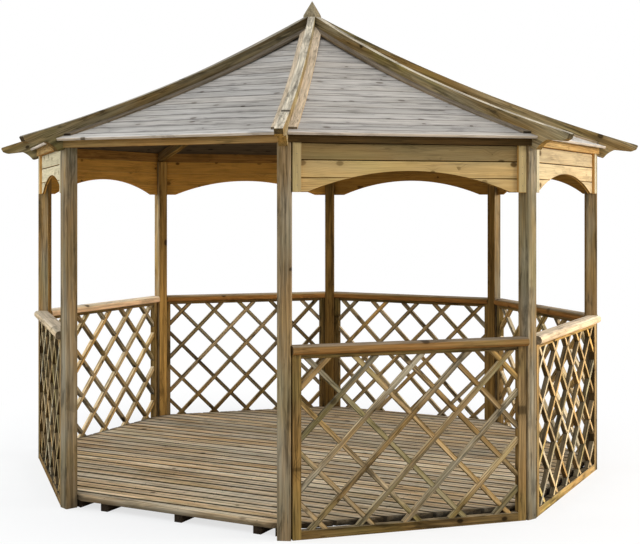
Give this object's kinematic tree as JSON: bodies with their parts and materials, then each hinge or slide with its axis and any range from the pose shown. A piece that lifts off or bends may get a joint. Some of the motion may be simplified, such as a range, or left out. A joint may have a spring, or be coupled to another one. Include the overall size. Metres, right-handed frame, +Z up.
{
  "type": "garden gazebo",
  "caption": "Octagonal timber garden gazebo with a swept boarded roof, lattice side panels under handrails, arched headers and a raised deck.",
  "frame": {"origin": "centre of the octagon at ground level", "axes": "+Z up; the doorway bay faces -Y; +X to the right seen from in front of the doorway"},
  "size_m": [3.8458, 3.8458, 3.0018],
  "materials": {
    "posts": "weathered softwood",
    "rafters": "weathered softwood",
    "roof_boards": "weathered softwood",
    "trellis": "weathered softwood",
    "headers": "weathered softwood",
    "handrails": "weathered softwood",
    "eave_plates": "weathered softwood",
    "fillets": "weathered softwood",
    "finial": "weathered softwood",
    "deck": "weathered softwood",
    "joists": "weathered softwood"
  },
  "bodies": {
    "root": {"post_1": "posts", "hip_rafter_1": "rafters", "roof_panel_1": "roof_boards", "post_2": "posts", "hip_rafter_2": "rafters", "roof_panel_2": "roof_boards", "post_3": "posts", "hip_rafter_3": "rafters", "roof_panel_3": "roof_boards", "post_4": "posts", "hip_rafter_4": "rafters", "roof_panel_4": "roof_boards", "post_5": "posts", "hip_rafter_5": "rafters", "roof_panel_5": "roof_boards", "post_6": "posts", "hip_rafter_6": "rafters", "roof_panel_6": "roof_boards", "post_7": "posts", "hip_rafter_7": "rafters", "roof_panel_7": "roof_boards", "post_8": "posts", "hip_rafter_8": "rafters", "roof_panel_8": "roof_boards", "trellis_panel_1": "trellis", "header_panel_1": "headers", "trellis_panel_2": "trellis", "header_panel_2": "headers", "trellis_panel_3": "trellis", "header_panel_3": "headers", "trellis_panel_4": "trellis", "header_panel_4": "headers", "trellis_panel_5": "trellis", "header_panel_5": "headers", "trellis_panel_6": "trellis", "header_panel_6": "headers", "trellis_panel_7": "trellis", "header_panel_7": "headers", "handrails": "handrails", "eave_plates": "eave_plates", "hip_fillets": "fillets", "king_block": "rafters", "finial": "finial", "deck_boards": "deck", "deck_joists": "joists"}
  },
  "joints": []
}
